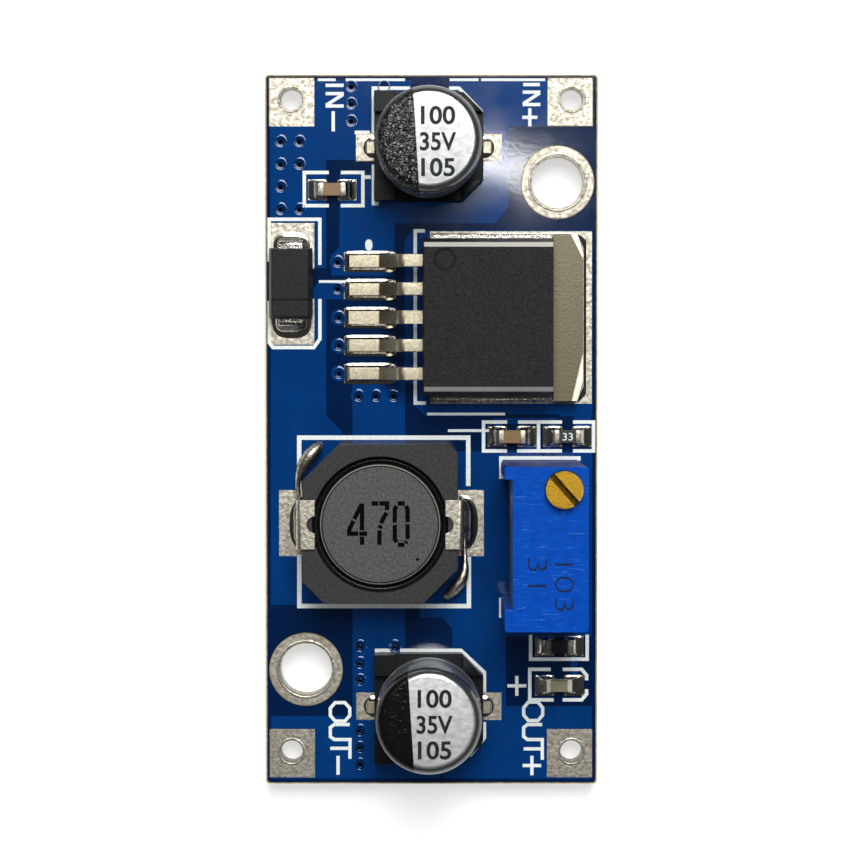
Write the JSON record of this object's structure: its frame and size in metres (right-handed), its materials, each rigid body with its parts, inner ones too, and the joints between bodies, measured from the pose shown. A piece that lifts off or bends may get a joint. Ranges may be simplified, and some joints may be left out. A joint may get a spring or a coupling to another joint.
{
  "type": "buck converter module",
  "caption": "Small blue circuit board with a step-down regulator, power inductor, can capacitors, diode and a multi-turn trimmer, with solder terminals at its corners.",
  "frame": {"origin": "common centre of the mounting holes and of the terminal holes, on the board's underside", "axes": "+X across the board, +Y along it towards the input end, +Z out of the component side"},
  "size_m": [0.0202, 0.0432, 0.0133],
  "materials": {
    "laminate": "sawn glass-epoxy laminate, tan",
    "solder_mask": "blue lacquer over copper and laminate",
    "copper_foil": "rolled copper foil, bare under the lacquer",
    "marking_ink": "white printed legend",
    "tinned_copper": "copper levelled with tin",
    "solder": "reflowed solder, bright and slightly grainy",
    "tinned_lead": "matt tin-plated copper strip",
    "moulding_compound": "black moulded epoxy, fine grain",
    "ferrite": "ground dark grey ferrite",
    "enamelled_wire": "copper wire in clear enamel",
    "can_aluminium": "drawn aluminium, brushed top",
    "base_plastic": "black moulded plastic",
    "seal_rubber": "black rubber",
    "foil_roll": "rolled foil and paper under tape",
    "trimmer_blue": "blue moulded plastic, slightly worn",
    "screw_brass": "turned brass",
    "casting_resin": "cast blue resin",
    "alumina": "white alumina",
    "track_film": "printed cermet film",
    "wheel_nylon": "natural nylon",
    "wiper_spring": "spring alloy",
    "capacitor_ceramic": "fired brown ceramic",
    "resistor_ceramic": "black glaze on white ceramic",
    "lamp_base": "white laminate",
    "lamp_lens": "clear resin, faintly yellow"
  },
  "bodies": {
    "board": {"circuit_board": "laminate", "copper_top": "copper_foil", "copper_bottom": "copper_foil", "solder_mask_top": "solder_mask", "solder_mask_bottom": "solder_mask", "via_barrels": "tinned_copper", "component_lands": "tinned_copper", "terminal_pad_in_minus": "tinned_copper", "terminal_pad_in_plus": "tinned_copper", "terminal_pad_out_minus": "tinned_copper", "terminal_pad_out_plus": "tinned_copper", "mounting_ring_in": "tinned_copper", "mounting_ring_out": "tinned_copper", "regulator_body": "moulding_compound", "regulator_tab": "tinned_lead", "regulator_lead_1": "tinned_lead", "regulator_lead_2": "tinned_lead", "regulator_lead_4": "tinned_lead", "regulator_lead_5": "tinned_lead", "diode_body": "moulding_compound", "diode_cathode_lead": "tinned_lead", "diode_anode_lead": "tinned_lead", "inductor_shield": "ferrite", "inductor_drum_core": "ferrite", "inductor_winding": "enamelled_wire", "inductor_clip_left": "tinned_lead", "inductor_clip_right": "tinned_lead", "inductor_wire_ends": "solder", "trimmer_housing": "trimmer_blue", "trimmer_back_seal": "casting_resin", "trimmer_ceramic_plate": "alumina", "trimmer_track": "track_film", "trimmer_pins": "tinned_lead", "trimmer_solder": "solder", "bypass_capacitor_body": "capacitor_ceramic", "bypass_capacitor_ends": "solder", "feedback_capacitor_body": "capacitor_ceramic", "feedback_capacitor_ends": "solder", "feedback_resistor_body": "resistor_ceramic", "feedback_resistor_ends": "solder", "lamp_resistor_body": "resistor_ceramic", "lamp_resistor_ends": "solder", "lamp_body": "lamp_base", "lamp_ends": "solder", "lamp_lens": "lamp_lens", "solder_fillets": "solder", "input_capacitor_can": "can_aluminium", "input_capacitor_base": "base_plastic", "input_capacitor_seal": "seal_rubber", "input_capacitor_roll": "foil_roll", "input_capacitor_leads": "tinned_lead", "output_capacitor_can": "can_aluminium", "output_capacitor_base": "base_plastic", "output_capacitor_seal": "seal_rubber", "output_capacitor_roll": "foil_roll", "output_capacitor_leads": "tinned_lead"},
    "adjusting_screw": {"trimmer_screw": "screw_brass", "trimmer_seal_ring": "seal_rubber"},
    "wiper_rotor": {"trimmer_worm_wheel": "wheel_nylon", "trimmer_wiper": "wiper_spring"}
  },
  "joints": [
    {"name": "screw_turn", "type": "hinge", "parent": "board", "child": "adjusting_screw", "pos_m": [0.00764, -0.00338, 0.01163], "axis": [0, 0, 1], "range_deg": [-7290, 1710]},
    {"name": "wheel_turn", "type": "hinge", "parent": "board", "child": "wiper_rotor", "pos_m": [0.00764, -0.00713, 0.00655], "axis": [1, 0, 0], "range_deg": [-51, 215]}
  ],
  "couplings": [
    {"joint": "wheel_turn", "follows": "screw_turn", "ratio": -0.029412}
  ]
}
